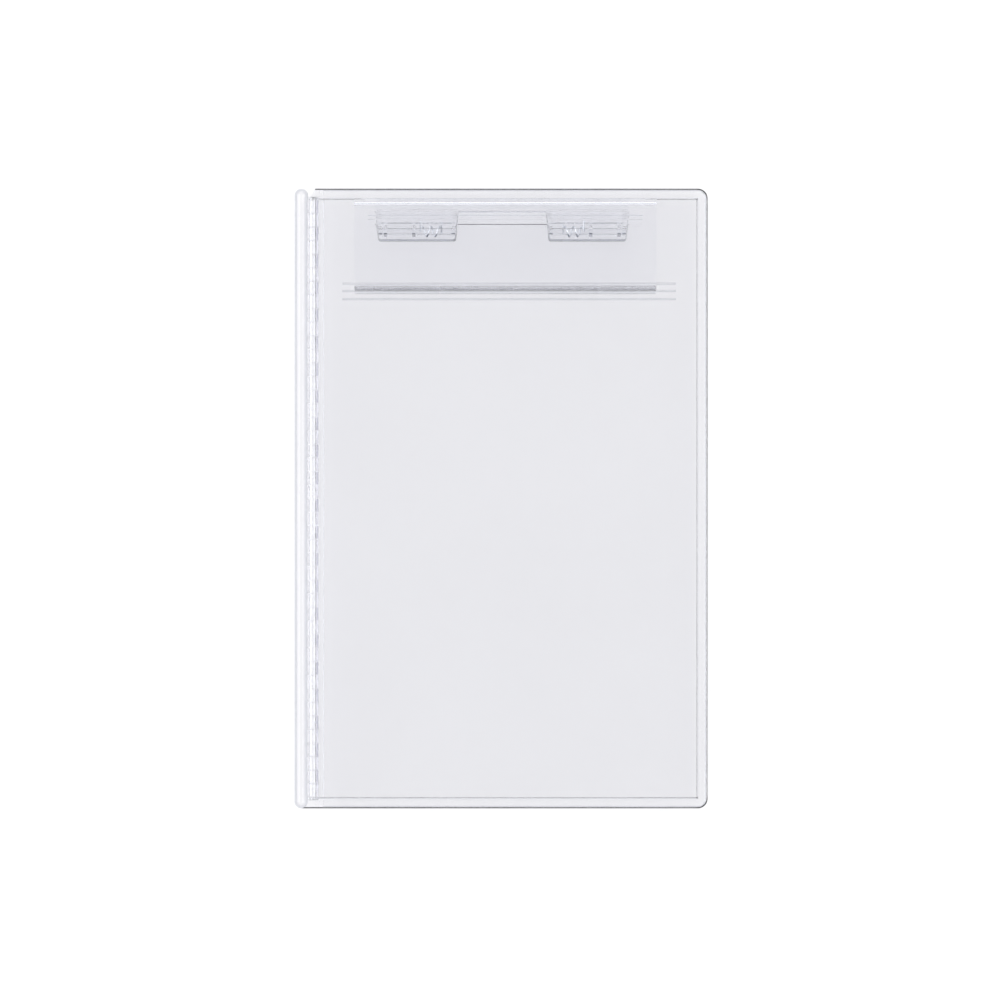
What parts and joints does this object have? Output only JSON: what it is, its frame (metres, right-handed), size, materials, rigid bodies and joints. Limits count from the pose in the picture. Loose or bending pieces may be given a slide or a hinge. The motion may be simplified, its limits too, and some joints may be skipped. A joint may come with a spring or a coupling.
{
  "type": "clipboard",
  "caption": "Clear plastic clipboard on a shallow case back, with a clear full-width sprung clip and a row of hinge knuckles down its left side",
  "frame": {"origin": "middle of the footprint, on the surface it lies on", "axes": "+X to the right of the clipboard, +Y towards the clip, +Z out of the clip side"},
  "size_m": [0.1524, 0.2286, 0.0157],
  "materials": {
    "clear_sheet": "clear, glossy",
    "clear_moulding": "clear, glossy",
    "spring_steel": "bright drawn wire"
  },
  "bodies": {
    "case": {"case_back": "clear_sheet", "back_hinge_strip": "clear_moulding", "hinge_pin": "clear_moulding", "hinge_pin_cap_head": "clear_moulding", "hinge_pin_cap_foot": "clear_moulding"},
    "board_with_clip": {"board": "clear_sheet", "board_hinge_strip": "clear_moulding", "clip_base": "clear_moulding", "pivot_pin_left": "clear_moulding", "pivot_pin_right": "clear_moulding", "torsion_spring_left": "spring_steel", "torsion_spring_right": "spring_steel"},
    "lever": {"clip_lever": "clear_moulding"}
  },
  "joints": [
    {"name": "board_hinge", "type": "hinge", "parent": "case", "child": "board_with_clip", "pos_m": [-0.0693, 0, 0.0064], "axis": [0, -1, 0], "range_deg": [0, 170]},
    {"name": "clip", "type": "hinge", "parent": "board_with_clip", "child": "lever", "pos_m": [0.0016, 0.0982, 0.0108], "axis": [-1, 0, 0], "range_deg": [0, 22], "stiffness_Nm_per_rad": 0.25, "springref_deg": -40.11, "deforming": ["torsion_spring_left", "torsion_spring_right"]}
  ]
}
